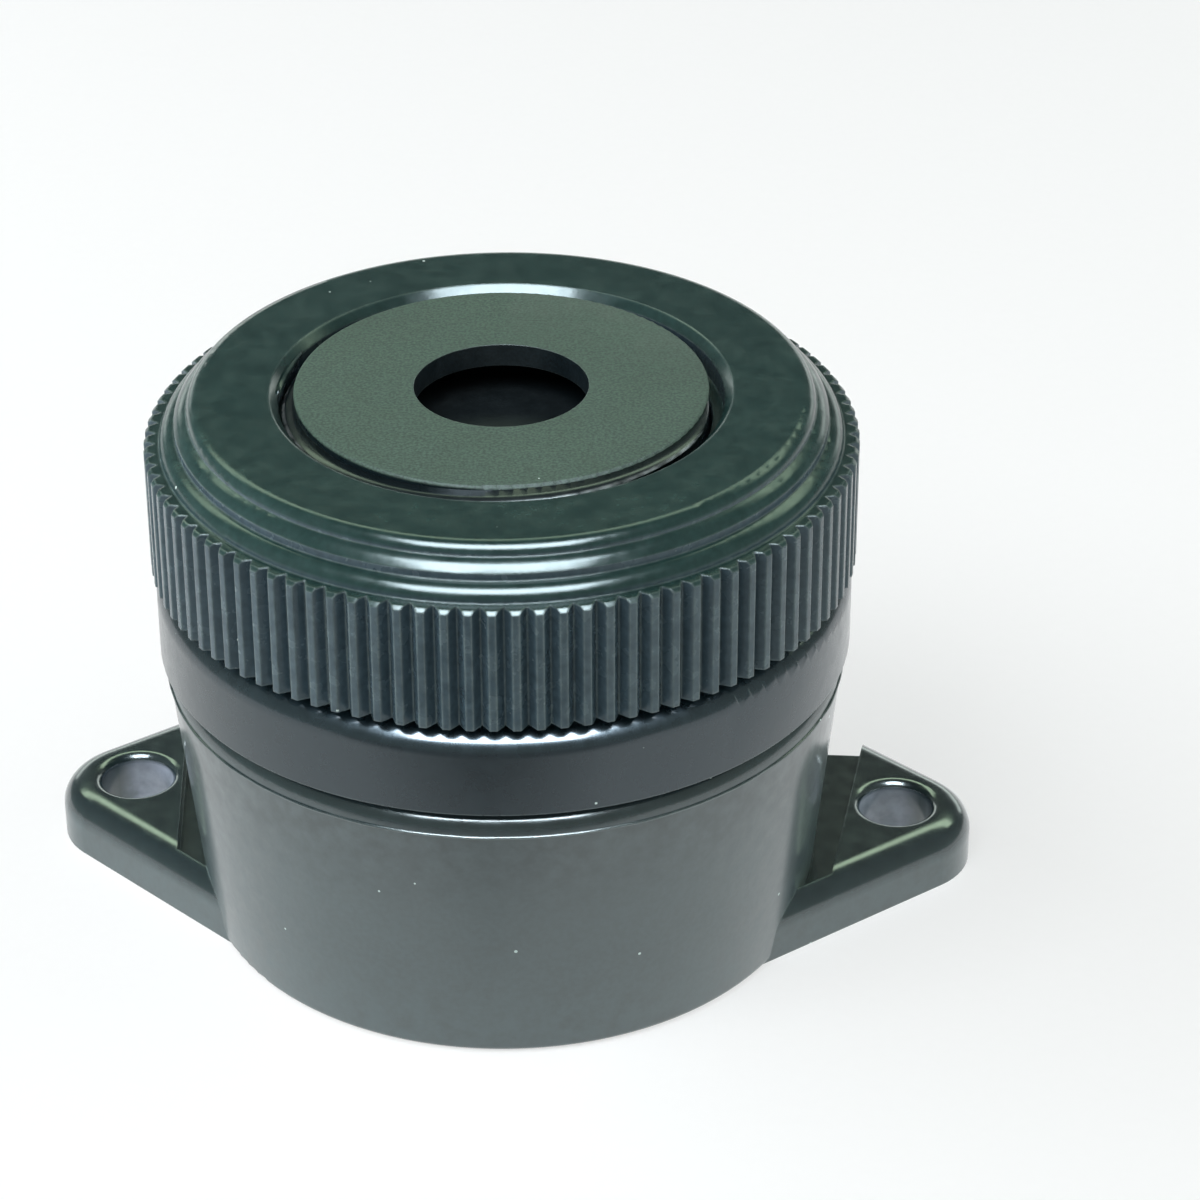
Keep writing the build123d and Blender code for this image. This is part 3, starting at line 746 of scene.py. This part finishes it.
# %% [markdown]
# ## Witness line on the base
# The base's rounded lip ends in a fine raised line, which the edge of the steel insert leaves
# behind. It is only about a tenth of a millimetre high, yet it catches the light all along the
# front. It is a thin ring, half sunk in the wall, made by carrying a small circle round the axis.
# Its thickness wanders a little, as such a line's does.

# %% Ring on the lip
line_height = 11.62
line_radius = 14.49
line_thickness = 0.075
line_wander = 0.25
line_steps = 180
line_corners = 8

ring = bmesh.new()
loops = []
for step in range(line_steps):
    angle = math.radians(360 / line_steps * step)
    thick = line_thickness * (1 + line_wander * math.sin(7 * angle) * math.sin(31 * angle))
    loop = []
    for corner in range(line_corners):
        about = math.radians(360 / line_corners * corner)
        out = line_radius + thick * math.cos(about)
        z = line_height + line_thickness * math.sin(about)
        loop.append(ring.verts.new(Vector((out * math.cos(angle), out * math.sin(angle), z)) * MM))
    loops.append(loop)
for step, one in enumerate(loops):
    other = loops[(step + 1) % line_steps]
    for corner in range(line_corners):
        after = (corner + 1) % line_corners
        ring.faces.new((one[corner], other[corner], other[after], one[after]))
bmesh.ops.recalc_face_normals(ring, faces=ring.faces)
add_piece("base_witness_line", ring, [abs_base])

# %% [markdown]
# ## Screw thread
# The nut screws onto a thread on the neck. Only its first turn shows, in the narrow gap between the
# neck's face and the nut, where it starts as a ramp and sinks as it goes round clockwise, because
# the thread is right-handed. A screw modifier could make it, but a loop that carries a small
# profile round the axis can also fade the ends in and out, and cut the crest off flat under the
# neck's face as the mould does.

# %% Carry a profile round the axis
half_foot, half_shoulder, shoulder_share = 0.42, 0.07, 0.85
ridge_profile = [(0.0, -half_foot), (shoulder_share, -half_shoulder), (1.0, 0.0),
                 (shoulder_share, half_shoulder), (0.0, half_foot)]
step_angle = 1.5
least_swell = 0.04


def thread_ridge(start, sweep, height, pitch, root, crest, ceiling, fades):
    """Helical ridge swept clockwise from a start angle. Lengths are in mm, angles in degrees."""
    steps = round(sweep / step_angle)
    mesh = bmesh.new()
    rings = []
    for step in range(steps + 1):
        gone = sweep * step / steps
        angle = math.radians(start - gone)
        swell = 1.0
        for along, fade in ((gone, fades[0]), (sweep - gone, fades[1])):
            swell *= math.sin(math.pi / 2 * min(1.0, least_swell + along / fade))
        ring = []
        for out, rise in ridge_profile:
            radius = root + (crest - root) * out * swell
            z = min(height - pitch * gone / 360 + rise, ceiling)
            spot = Vector((radius * math.cos(angle), radius * math.sin(angle), z)) * MM
            ring.append(mesh.verts.new(spot))
        rings.append(ring)
    for one, other in zip(rings, rings[1:]):
        for low in range(len(ridge_profile)):
            high = (low + 1) % len(ridge_profile)
            mesh.faces.new((one[low], one[high], other[high], other[low]))
    mesh.faces.new(rings[0])
    mesh.faces.new(list(reversed(rings[-1])))
    bmesh.ops.recalc_face_normals(mesh, faces=mesh.faces)
    return mesh


print("ridge profile has", len(ridge_profile), "points")

# %% [markdown]
# The neck's ridge runs two thirds of a turn and sinks below the nut. The nut has a thread in its
# bore too, and its start shows as a short tooth that rises from the gap at the back left.

# %% Thread on the neck and in the nut
thread_pitch = 1.5
neck_ridge = thread_ridge(start=-3, sweep=245, height=neck_top - 0.2, pitch=thread_pitch,
                          root=neck_radius - 0.03, crest=neck_crest, ceiling=neck_top - 0.1,
                          fades=(30, 40))
add_piece("neck_thread", neck_ridge, [abs_thread])

bore_radius = neck_radius + 0.65
nut_ridge = thread_ridge(start=184, sweep=24, height=neck_top - 0.75, pitch=-6.0,
                         root=bore_radius + 0.02, crest=bore_radius - 0.12, ceiling=neck_top - 0.3,
                         fades=(8, 8))
add_piece("nut_thread_start", nut_ridge, [abs_nut])
